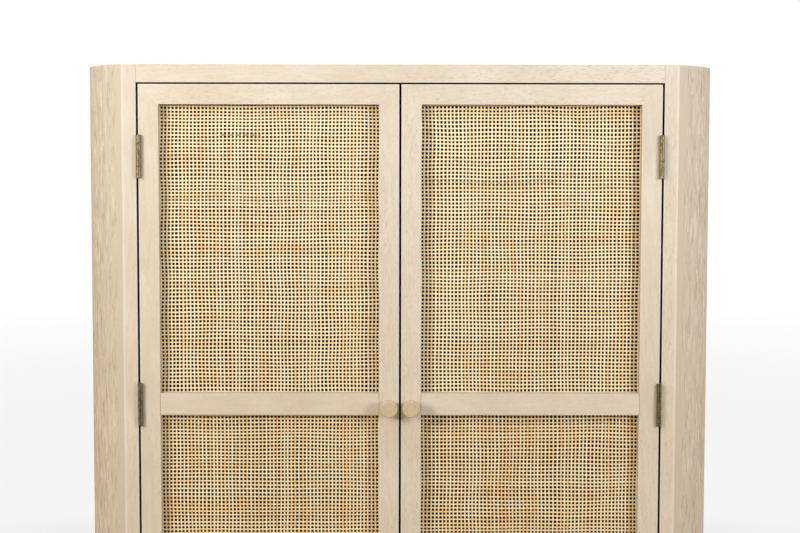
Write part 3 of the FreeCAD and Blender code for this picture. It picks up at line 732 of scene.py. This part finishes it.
def slab(outline, thickness, edge=0.0):
    """A plate: the outline in XY, its thickness up Z, all edges eased."""
    shape = bmesh.new()
    face = shape.faces.new([shape.verts.new((x, y, 0)) for x, y in outline])
    lifted = bmesh.ops.extrude_face_region(shape, geom=[face])["geom"]
    moved = [item for item in lifted if isinstance(item, bmesh.types.BMVert)]
    bmesh.ops.translate(shape, verts=moved, vec=(0, 0, thickness))
    bmesh.ops.recalc_face_normals(shape, faces=shape.faces)
    if edge:
        rounding = {"segments": 2, "profile": 0.5, "affect": "EDGES"}
        bmesh.ops.bevel(shape, geom=shape.edges[:], offset=edge, **rounding)
    return mesh_of(shape)


def carved(mesh, cutter):
    """The mesh with the cutter's solid taken away."""
    whole, tool = in_scene("whole", mesh), in_scene("tool", cutter)
    cut = whole.modifiers.new("cut", "BOOLEAN")
    cut.operation, cut.object, cut.solver = "DIFFERENCE", tool, "EXACT"
    evaluated = whole.evaluated_get(bpy.context.evaluated_depsgraph_get())
    result = bpy.data.meshes.new_from_object(evaluated)
    for used in (whole, tool):
        bpy.data.objects.remove(used)
    return result


def aged_metal(name, pale, deep, dark, rough, metal=1.0, mottle=420, wear=None):
    """Plated metal with a patchy patina. wear changes the colour from the place on the piece; on
    the hinges it adds painted highlight and shade as well as patina.
    """
    material, shader, spot = blank_material(name)
    patches = spot.noise(mottle, detail=3, roughness=0.65)
    specks = spot.noise(mottle * 3.4, detail=1)
    shown = patches.ramp(0.36, 0.64).blend(deep, pale)
    shown = (specks.ramp(0.56, 0.72) * 0.8).blend(shown, dark)
    if wear:
        shown = wear(spot, shown)
    normal = (patches * 0.6 + specks * 0.4).bumps(0.08 * MM, 0.5)
    values = {"Base Color": shown, "Roughness": rough + specks * 0.2, "Normal": normal}
    plug(shader, values | {"Metallic": metal})
    return material


SCREW_STEPS = 28
HOLE_DEPTH = 3 * MM


def screw_head(radius, height, dome):
    """A screw's head on Z = 0 with a cross recess. A countersunk one has no dome."""
    rim = [(0, -height), (radius * 0.45, -height), (radius, 0.0)]
    crown = [(radius * 0.86, dome * 0.6), (radius * 0.5, dome * 0.92), (0, dome)]
    head = turned(rim + (crown if dome else [(0, 0.0)]), SCREW_STEPS)
    arm, deep = radius * 0.62, max(height, dome) * 0.7
    half = arm * 0.24
    blade = slab([(-arm, -half), (arm, -half), (arm, half), (-arm, half)], deep * 3)
    for quarter in range(2):
        turn = Matrix.Rotation(math.pi / 2 * quarter, 4, "Z")
        place = Matrix.Translation((0, 0, dome - deep)) @ turn
        head = carved(head, joined([(blade, place)]))
    return head


def countersink(radius, height):
    """The cutter for a screw's hole and the cone of its head, the mouth on Z = 0."""
    hole, mouth = radius * 0.5, radius * 1.12
    profile = [(0, -HOLE_DEPTH), (hole, -HOLE_DEPTH), (hole, -height), (mouth, 0.05 * MM)]
    return turned(profile + [(mouth, MM), (0, MM)], SCREW_STEPS)


def screwed(mesh, head_size, places, drop, turns=None):
    """The mesh with countersinks at its screws' places, and the screws in them, which lie a drop
    under the face and are each turned their own way. head_size is a radius and a height."""
    sink, screw = countersink(*head_size), screw_head(*head_size, 0)
    sunk = carved(mesh, joined([(sink, place) for place in places]))
    lower = Matrix.Translation((0, 0, -drop))
    spins = [Matrix.Rotation(turn, 4, "Z") for turn in turns or [0.0] * len(places)]
    heads = [(screw, place @ spin @ lower) for place, spin in zip(places, spins)]
    return sunk, joined(heads)


# Brass tones: the pale one also makes a painted highlight on the knuckles, the dark one painted
# shade.
BRASS_PALE_AND_HIGHLIGHT = colour(158, 141, 108)
BRASS_DEEP = colour(92, 77, 52)
BRASS_DARK_AND_SHADE = colour(46, 37, 25)

KNUCKLES = 5
LEAF_THICKNESS = 1.3 * MM
LEAF_EASE = 0.12 * MM
NOTCH_PLAY = 0.4 * MM
KNUCKLE_PLAY = 0.25 * MM
KNUCKLE_CHAMFER = 0.35 * MM
BORE_CHAMFER = 0.15 * MM
PIN_PLAY = 0.05 * MM
HINGE_SCREW = 2.6 * MM, 1.1 * MM
HINGE_SCREW_DROP = 0.08 * MM
# Each screw's share of the leaf's height, and of its width behind the barrel.
HINGE_SCREW_SPOTS = (0.14, 0.62), (0.5, 0.40), (0.86, 0.62)
HINGE_LENGTH = 70 * MM

pins_low, pins_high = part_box("hinge_pins_right")
pin_x, pin_y = (pins_low.x + pins_high.x) / 2, (pins_low.y + pins_high.y) / 2
pin_radius = (pins_high.x - pins_low.x) / 2
leaves_low, leaves_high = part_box("hinge_frame_leaves_right")
knuckle_radius = pin_y - leaves_low.y
leaf_end = leaves_high.y - pin_y
hinge_spacing = (leaves_high.z - HINGE_LENGTH - leaves_low.z) / 2
hinge_lows = [leaves_low.z + hinge_spacing * number for number in range(3)]
knuckle_pitch = HINGE_LENGTH / KNUCKLES
frame_leaf_x = leaves_high.x - pin_x - LEAF_THICKNESS
door_leaf_x = door_high_x - pin_x


def barrel_patina_and_reflection(spot, shown):
    """Dirt in the seams between knuckles. A dark stripe down the middle of the barrel's front and
    dark sides are painted shade, and bright flanks between them a painted highlight. The lower
    hinges are darker."""
    across = (spot.part("x").size() - pin_x).size()
    up = (spot.part("z") - leaves_low.z) % hinge_spacing
    share = (up * (1 / knuckle_pitch)) % 1.0
    from_seam = 0.5 - (share - 0.5).size()
    seam = from_seam.ramp(0.8 * MM / knuckle_pitch, 0.35 * MM / knuckle_pitch)
    # Painted highlight on the flanks, and painted shade down the middle and at the sides.
    flank_highlight = across.near(knuckle_radius * 0.55, 1.5 * MM, 0.6 * MM)
    front = across.ramp(0.9 * MM, 0.3 * MM)
    rim = across.ramp(knuckle_radius * 0.84, knuckle_radius * 0.97)
    lower_hinges = spot.part("z").ramp(0.95, 0.75)
    shown = (lower_hinges * 0.35).blend(shown, BRASS_DARK_AND_SHADE)
    shown = (flank_highlight * 0.15).blend(shown, BRASS_PALE_AND_HIGHLIGHT)
    return (front.larger(rim) * 0.7).larger(seam * 0.8).blend(shown, BRASS_DARK_AND_SHADE)


brass = aged_metal("aged_brass", BRASS_PALE_AND_HIGHLIGHT, BRASS_DEEP, BRASS_DARK_AND_SHADE, 0.36, 0.9, 260, barrel_patina_and_reflection)
screw_brass = aged_metal("screw_brass", BRASS_PALE_AND_HIGHLIGHT, BRASS_DEEP, BRASS_DARK_AND_SHADE, 0.36, 0.9)


def hinge_leaf(plate_x, own_knuckles, screws_face):
    """A leaf with the pin's axis on Z: its plate runs back along +Y, its knuckles go round Z."""
    notch = knuckle_radius + NOTCH_PLAY
    root = math.sqrt(((pin_radius + knuckle_radius) / 2) ** 2 - plate_x**2)
    outline = [(leaf_end, 0), (leaf_end, HINGE_LENGTH)]
    for number in reversed(range(KNUCKLES)):
        own = number in own_knuckles
        ease = KNUCKLE_PLAY / 2 if own else -KNUCKLE_PLAY / 2
        top = min(HINGE_LENGTH, (number + 1) * knuckle_pitch - ease)
        foot = max(0, number * knuckle_pitch + ease)
        outline += [(root if own else notch, top), (root if own else notch, foot)]
    plate = slab(outline, LEAF_THICKNESS, LEAF_EASE)
    upright = Matrix(((0, 0, 1, plate_x), (1, 0, 0, 0), (0, 1, 0, 0), (0, 0, 0, 1)))
    plate.transform(upright)
    outer_face = plate_x if screws_face < 0 else plate_x + LEAF_THICKNESS
    facing = Matrix.Rotation(math.pi / 2 * screws_face, 4, "Y")
    places = [
        Matrix.Translation((outer_face, notch + (leaf_end - notch) * inset, HINGE_LENGTH * share))
        @ facing
        for share, inset in HINGE_SCREW_SPOTS
    ]
    turns = [share * 5 for share, _ in HINGE_SCREW_SPOTS]
    plate, screws = screwed(plate, HINGE_SCREW, places, HINGE_SCREW_DROP, turns)
    bore, end = pin_radius + PIN_PLAY, knuckle_pitch - KNUCKLE_PLAY
    half = [(bore, BORE_CHAMFER), (bore + BORE_CHAMFER, 0)]
    half += [(knuckle_radius - KNUCKLE_CHAMFER, 0), (knuckle_radius, KNUCKLE_CHAMFER)]
    knuckle_profile = half + [(radius, end - past) for radius, past in reversed(half)]
    knuckle = turned(knuckle_profile, 40)
    lifts = [(n * knuckle_pitch + KNUCKLE_PLAY / 2) for n in own_knuckles]
    rolled = [(knuckle, Matrix.Translation((0, 0, lift))) for lift in lifts]
    return joined([(plate, Matrix.Identity(4))] + rolled), screws


def at_both_sides(name, mesh, bodies, material, replaced=None, spots=((0, 0, 0),)):
    """The mesh at each spot of the right-hand side, and its mirror image on the left."""
    for side, body in bodies.items():
        placed = joined([(mesh, Matrix.Translation(spot)) for spot in spots])
        if side == "left":
            placed.transform(Matrix.Scale(-1, 4, (1, 0, 0)))
            placed.flip_normals()
        piece = piece_of(f"{name}_{side}", placed, body, material)
        if replaced:
            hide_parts(f"{replaced}_{side}")


ON_CABINET = {"right": "cabinet", "left": "cabinet"}
ON_DOOR = {"right": "right_door", "left": "left_door"}
hinge_spots = [(pin_x, pin_y, low) for low in hinge_lows]
pin_half = [(0, 0.5 * MM), (pin_radius * 0.7, 0.4 * MM), (pin_radius, -0.1 * MM)]
pin_profile = [(radius, -past) for radius, past in pin_half]
pin_profile += [(radius, HINGE_LENGTH + past) for radius, past in reversed(pin_half)]
frame_leaf, frame_screws = hinge_leaf(frame_leaf_x, (0, 2, 4), -1)
door_leaf, door_screws = hinge_leaf(door_leaf_x, (1, 3), 1)
hinge_pin = turned(pin_profile, 32)
for name, mesh, bodies, slot, material, replaced in (
    ("frame_leaves", frame_leaf, ON_CABINET, "hinge_brass", brass, "hinge_frame_leaves"),
    ("door_leaves", door_leaf, ON_DOOR, "hinge_brass", brass, "hinge_door_leaves"),
    ("frame_leaf_screws", frame_screws, ON_CABINET, "hinge_brass", screw_brass, None),
    ("door_leaf_screws", door_screws, ON_DOOR, "hinge_brass", screw_brass, None),
    ("loose_pins", hinge_pin, ON_CABINET, "hinge_pin_brass", screw_brass, "hinge_pins"),
):
    at_both_sides(name, mesh, bodies, material, replaced, hinge_spots)

# ----------------------------------------
# Plinth: four limed oak boards set back under the carcass, bowed at the sides like the panels
# above, on round nylon glides that are nailed into the boards' lower edges.

dress(limed_oak("oak_plinth", 34, "x", flecks=0.6), "plinth_front", "plinth_back")
dress(limed_oak("oak_plinth_bow", 35, "y", SIDE_TONES, 0.6), *pair("plinth_side"))


def plain_plastic(name, tone, rough):
    """Moulded plastic with a fine spark-eroded texture."""
    material, shader, spot = blank_material(name)
    grain = spot.noise(1800, detail=2)
    darker = tuple(c * 0.8 for c in tone[:3]) + (1.0,)
    shown = spot.noise(60).ramp(0.2, 0.8).blend(tone, darker)
    normal = grain.bumps(0.03 * MM, 0.4)
    plug(shader, {"Base Color": shown, "Roughness": rough + grain * 0.1, "Normal": normal})
    return material


GLIDE_RADIUS = 8 * MM
glide_low, glide_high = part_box("glides")
glide_height = glide_high.z - glide_low.z
glide_profile = [
    (0, 1.6 * MM),
    (2.4 * MM, 1.6 * MM),
    (2.4 * MM, 0.4 * MM),
    (3.0 * MM, 0),
    (GLIDE_RADIUS - 1.2 * MM, 0),
    (GLIDE_RADIUS, 1.2 * MM),
    (GLIDE_RADIUS, glide_height),
    (0, glide_height),
]
glide = turned(rounded_profile(glide_profile, 0.4 * MM), 48)
nail_profile = [(0, 0.9 * MM), (1.6 * MM, 1.1 * MM), (1.9 * MM, 1.6 * MM), (0, 1.7 * MM)]
nail = turned(nail_profile, 24)
glide_places = [
    Matrix.Translation((x, y, 0))
    for x in (glide_low.x + GLIDE_RADIUS, glide_high.x - GLIDE_RADIUS)
    for y in (glide_low.y + GLIDE_RADIUS, glide_high.y - GLIDE_RADIUS)
]
nylon = plain_plastic("glide_nylon", colour(205, 200, 190), 0.4)
STEEL_TONES = colour(196, 196, 198), colour(170, 170, 174), colour(120, 120, 124)
steel = aged_metal("bright_steel", *STEEL_TONES, 0.28)
set_of_glides = joined([(glide, place) for place in glide_places])
glides = piece_of("nylon_glides", set_of_glides, "cabinet", nylon)
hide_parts("glides")
set_of_nails = joined([(nail, place) for place in glide_places])
piece_of("glide_nails", set_of_nails, "cabinet", steel)

# ----------------------------------------
# Shelf pins: nickel-plated spoons, a round shank pressed into the side and a flat lip under the
# shelf, four to each shelf.

dress(steel, "shelf_pins")

# ----------------------------------------
# Catches and knob screws: a plastic magnetic catch with two steel poles is screwed to the
# partition behind each door, and a steel strike plate to the door. A pan-head screw holds each
# knob from inside.

CATCH_EASE = 0.8 * MM
CATCH_RIM = 2.2 * MM
CHANNEL_DEPTH = 0.8 * MM
POLE_THICKNESS = 1.2 * MM
POLE_DEPTH = 8 * MM
POLE_GAP = 1 * MM
POLE_EASE = 0.15 * MM
CATCH_SCREW = 2.9 * MM, 1.5 * MM
CATCH_SCREW_INSET = 7 * MM
SCREW_DROP = 0.1 * MM
STRIKE_EASE = 0.2 * MM
STRIKE_SCREW = 2.3 * MM, 1.0 * MM
STRIKE_SCREW_SHARES = (0.2, 0.8)
PAN_RADIUS = 4.5 * MM
PAN_RIM = 0.3 * MM
PAN_DOME = 2.3 * MM
PAN_GAP = 0.1 * MM


def block(low, high, ease):
    """A block between two corners, its edges eased."""
    outline = [(low.x, low.y), (high.x, low.y), (high.x, high.y), (low.x, high.y)]
    mesh = slab(outline, high.z - low.z, ease)
    mesh.transform(Matrix.Translation((0, 0, low.z)))
    return mesh


catch_brown = plain_plastic("catch_plastic_brown", colour(96, 72, 52), 0.45)
catch_low, catch_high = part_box("magnetic_catch_right")
rim = Vector((CATCH_RIM, 0, CATCH_RIM))
channel_low = catch_low + rim - Vector((0, MM, 0))
channel_high = Vector((catch_high.x, catch_low.y + CHANNEL_DEPTH, catch_high.z)) - rim
channel = block(channel_low, channel_high, 0)
case = carved(block(catch_low, catch_high, CATCH_EASE), channel)
pole_height = channel_high.z - channel_low.z - POLE_GAP
poles = []
for pole_x in (channel_low.x + POLE_GAP, channel_high.x - POLE_GAP - POLE_THICKNESS):
    pole_low = Vector((pole_x, catch_low.y, channel_low.z + POLE_GAP / 2))
    pole_high = pole_low + Vector((POLE_THICKNESS, POLE_DEPTH, pole_height))
    poles.append((block(pole_low, pole_high, POLE_EASE), Matrix.Identity(4)))
faces_out = Matrix.Rotation(math.pi / 2, 4, "Y")
faces_back = Matrix.Rotation(-math.pi / 2, 4, "X")
places = [
    Matrix.Translation((catch_high.x, catch_high.y - CATCH_SCREW_INSET, z)) @ faces_out
    for z in (catch_low.z + CATCH_SCREW_INSET, catch_high.z - CATCH_SCREW_INSET)
]
case, case_screws = screwed(case, CATCH_SCREW, places, SCREW_DROP)
strike_low, strike_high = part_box("strike_plate_right")
strike_x = (strike_low.x + strike_high.x) / 2
places = [
    Matrix.Translation((strike_x, strike_high.y, z)) @ faces_back
    for z in (strike_low.lerp(strike_high, share).z for share in STRIKE_SCREW_SHARES)
]
strike = block(strike_low, strike_high, STRIKE_EASE)
strike, strike_screws = screwed(strike, STRIKE_SCREW, places, SCREW_DROP)
screw_low, screw_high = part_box("knob_screw_right")
pan = screw_head(PAN_RADIUS, PAN_RIM, PAN_DOME)
screw_x, screw_z = (screw_low.x + screw_high.x) / 2, (screw_low.z + screw_high.z) / 2
pan_spot = Matrix.Translation((screw_x, screw_high.y - PAN_DOME - PAN_GAP, screw_z))
pan.transform(pan_spot @ faces_back)
for name, mesh, bodies, slot, material, replaced in (
    ("catch_case", case, ON_CABINET, "catch_plastic", catch_brown, "magnetic_catch"),
    ("catch_poles", joined(poles), ON_CABINET, "strike_steel", steel, None),
    ("catch_screws", case_screws, ON_CABINET, "screw_steel", steel, None),
    ("strike", strike, ON_DOOR, "strike_steel", steel, "strike_plate"),
    ("strike_screws", strike_screws, ON_DOOR, "screw_steel", steel, None),
    ("knob_pan_screw", pan, ON_DOOR, "screw_steel", steel, "knob_screw"),
):
    at_both_sides(name, mesh, bodies, material, replaced)

# ----------------------------------------
# Rear posts and back: a thin board let into the rear, limed behind and stained on the side of the
# shelves, held by countersunk screws round its edge, which are driven into the rear posts, the top
# and the bottom. The rebate in each post is stopped at the ends of the board.

BACK_SCREW = 2.8 * MM, 1.6 * MM
BACK_SCREW_INSET = 5 * MM
SCREWS_UP = 7
SCREWS_ACROSS = 6
BACK_EASE = 0.4 * MM
POST_BOW_STEPS = 10
back_stain = stained_from("y", back_plane - 1.5 * MM, back_plane - 2.0 * MM)
oak_back = limed_oak("oak_back", 22, "z", finish=back_stain)
oak_rear_post = limed_oak("oak_rear_post", 15, "z", flecks=0.35, finish=stained_and_shaded_inside)
edge_x = back_high.x - BACK_SCREW_INSET
edge_z = (back_low.z + BACK_SCREW_INSET, back_high.z - BACK_SCREW_INSET)
up, across = np.linspace(*edge_z, SCREWS_UP), np.linspace(-edge_x, edge_x, SCREWS_ACROSS)
driven = [(x, back_plane, z) for x in (-edge_x, edge_x) for z in up]
driven += [(x, back_plane, z) for z in edge_z for x in across[1:-1]]
driven = [Matrix.Translation(spot) @ faces_back for spot in driven]
post_low, post_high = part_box("rear_post_right")
bow_ends = ((post_high.x, post_low.y), (arris, post_high.y))
bow_turns = [math.atan2(y - bow_middle.y, x - bow_middle.x) for x, y in bow_ends]
post_outline = [(post_low.x, post_high.y), (post_low.x, post_low.y)]
post_outline += [
    (bow_middle.x + bow_radius * math.cos(a), bow_middle.y + bow_radius * math.sin(a))
    for a in np.linspace(*bow_turns, POST_BOW_STEPS)
]
post = slab(post_outline, post_high.z - post_low.z)
post.transform(Matrix.Translation((0, 0, post_low.z)))
post = carved(post, block(back_low, back_high + Vector((0, MM, 0)), 0))
at_both_sides("stopped_post", post, ON_CABINET, oak_rear_post, "rear_post")
board = block(back_low, back_high, BACK_EASE)
board, set_of_screws = screwed(board, BACK_SCREW, driven, SCREW_DROP)
back_board = piece_of("back_board", board, "cabinet", oak_back)
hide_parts("back_panel")
piece_of("back_screws", set_of_screws, "cabinet", steel)

# ----------------------------------------
# Studio: pale floor and white background, two softboxes in front, one overhead, one at each side
# and one behind, so that the top and the back are lit as well.

bpy.context.scene.view_settings.view_transform = "Standard"

WHITE = (1, 1, 1, 1)
BLACK = (0, 0, 0, 1)
WORLD_LEVEL = 0.1
WORLD_TINT = (1, 0.85, 0.62, 1)
world = bpy.data.worlds.new("studio")
bpy.context.scene.world = world
world.use_nodes = True
room = Shade(world.node_tree)
seeing = [f"Is {kind} Ray" for kind in ("Camera", "Glossy", "Transmission")]
camera_ray, glossy_ray, clear_ray = (room.node("ShaderNodeLightPath", {}, {}, k) for k in seeing)
sees_room = camera_ray.larger(glossy_ray).larger(clear_ray)
backdrop = {
    "Color": sees_room.blend(WORLD_TINT, WHITE),
    "Strength": WORLD_LEVEL + sees_room * (1 - WORLD_LEVEL),
}
plug(world.node_tree.nodes["Background"], backdrop)

FLOOR_RADIUS = 40.0
# Distances from the cabinet between which the floor fades to light, and its light to white.
FLOOR_FADE = 0.8, 2.2
FLOOR_WHITENING = 3.0, 12.0
FLOOR_GREY = colour(210, 210, 212)
FLOOR_OFF_WHITE = colour(237, 236, 236)
FLOOR_BOUNCE = colour(222, 200, 160)
floor_mesh = bpy.data.meshes.new("floor")
corners = [(FLOOR_RADIUS * x, FLOOR_RADIUS * y, 0) for x, y in ((-1, -1), (1, -1), (1, 1), (-1, 1))]
floor_mesh.from_pydata(corners, [], [(0, 1, 2, 3)])
floor = in_scene("floor", floor_mesh)
floor_material, floor_shader, floor_spot = blank_material("studio_floor")
reach = floor_spot.node("ShaderNodeVectorMath", {"operation": "LENGTH"}, {0: floor_spot}, "Value")
seen = floor_spot.node("ShaderNodeLightPath", {}, {}, "Is Camera Ray")
fade = reach.ramp(*FLOOR_FADE) * seen
grey = fade.blend(seen.blend(FLOOR_BOUNCE, FLOOR_GREY), BLACK)
far = reach.ramp(*FLOOR_WHITENING).blend(FLOOR_OFF_WHITE, WHITE)
glow = {"Emission Color": fade.blend(BLACK, far), "Emission Strength": 1.0}
plug(floor_shader, {"Base Color": grey, "Roughness": 0.9} | glow)
floor_mesh.materials.append(floor_material)


def softbox(name, width, height, place, aim, watts, tint):
    """A rectangular lamp at a place, turned to what it is aimed at."""
    lamp = bpy.data.lights.new(name, "AREA")
    lamp.shape, lamp.size, lamp.size_y = "RECTANGLE", width, height
    lamp.energy, lamp.color = watts, tint
    holder = in_scene(name, lamp)
    holder.location = place
    holder.rotation_euler = (Vector(aim) - Vector(place)).to_track_quat("-Z", "Y").to_euler()


softbox("left_key", 0.7, 0.8, (-1.55, -1.8, 1.4), (0, -0.17, 2.0), 35.3, (1, 1, 0.99))
softbox("right_key", 0.7, 0.8, (1.55, -1.8, 1.3), (0, -0.17, 2.0), 29.2, (0.88, 0.93, 1))
softbox("overhead", 2.6, 0.5, (-0.1, -0.8, 1.75), (0, -0.17, 1.0), 5.3, (0.8, 0.88, 1))
softbox("rear_top", 2.0, 1.2, (0, 2.3, 2.5), (0, 0.2, 0.7), 62.0, (1, 0.97, 0.92))
softbox("left_wall", 2.0, 2.0, (-2.8, 0.7, 1.0), (-0.5, 0, 0.8), 5.6, (1, 0.86, 0.74))
softbox("right_wall", 2.0, 2.0, (2.8, 0.7, 1.0), (0.5, 0, 0.8), 13.5, (0.93, 0.89, 1))

CAMERA_FOCAL_PIXELS = 1750
IMAGE_WIDTH_PIXELS = 800
CAMERA_PITCH = 4.22
CAMERA_LEAN = 0.09
CAMERA_TURN = -0.22
CAMERA_PLACE = (-0.0115, -3.014, 1.063)
camera = in_scene("camera", bpy.data.cameras.new("camera"))
camera.data.sensor_width = 36
camera.data.lens = camera.data.sensor_width * CAMERA_FOCAL_PIXELS / IMAGE_WIDTH_PIXELS
camera.location = CAMERA_PLACE
camera.rotation_euler = [math.radians(a) for a in (90 - CAMERA_PITCH, -CAMERA_LEAN, CAMERA_TURN)]
bpy.context.scene.camera = camera
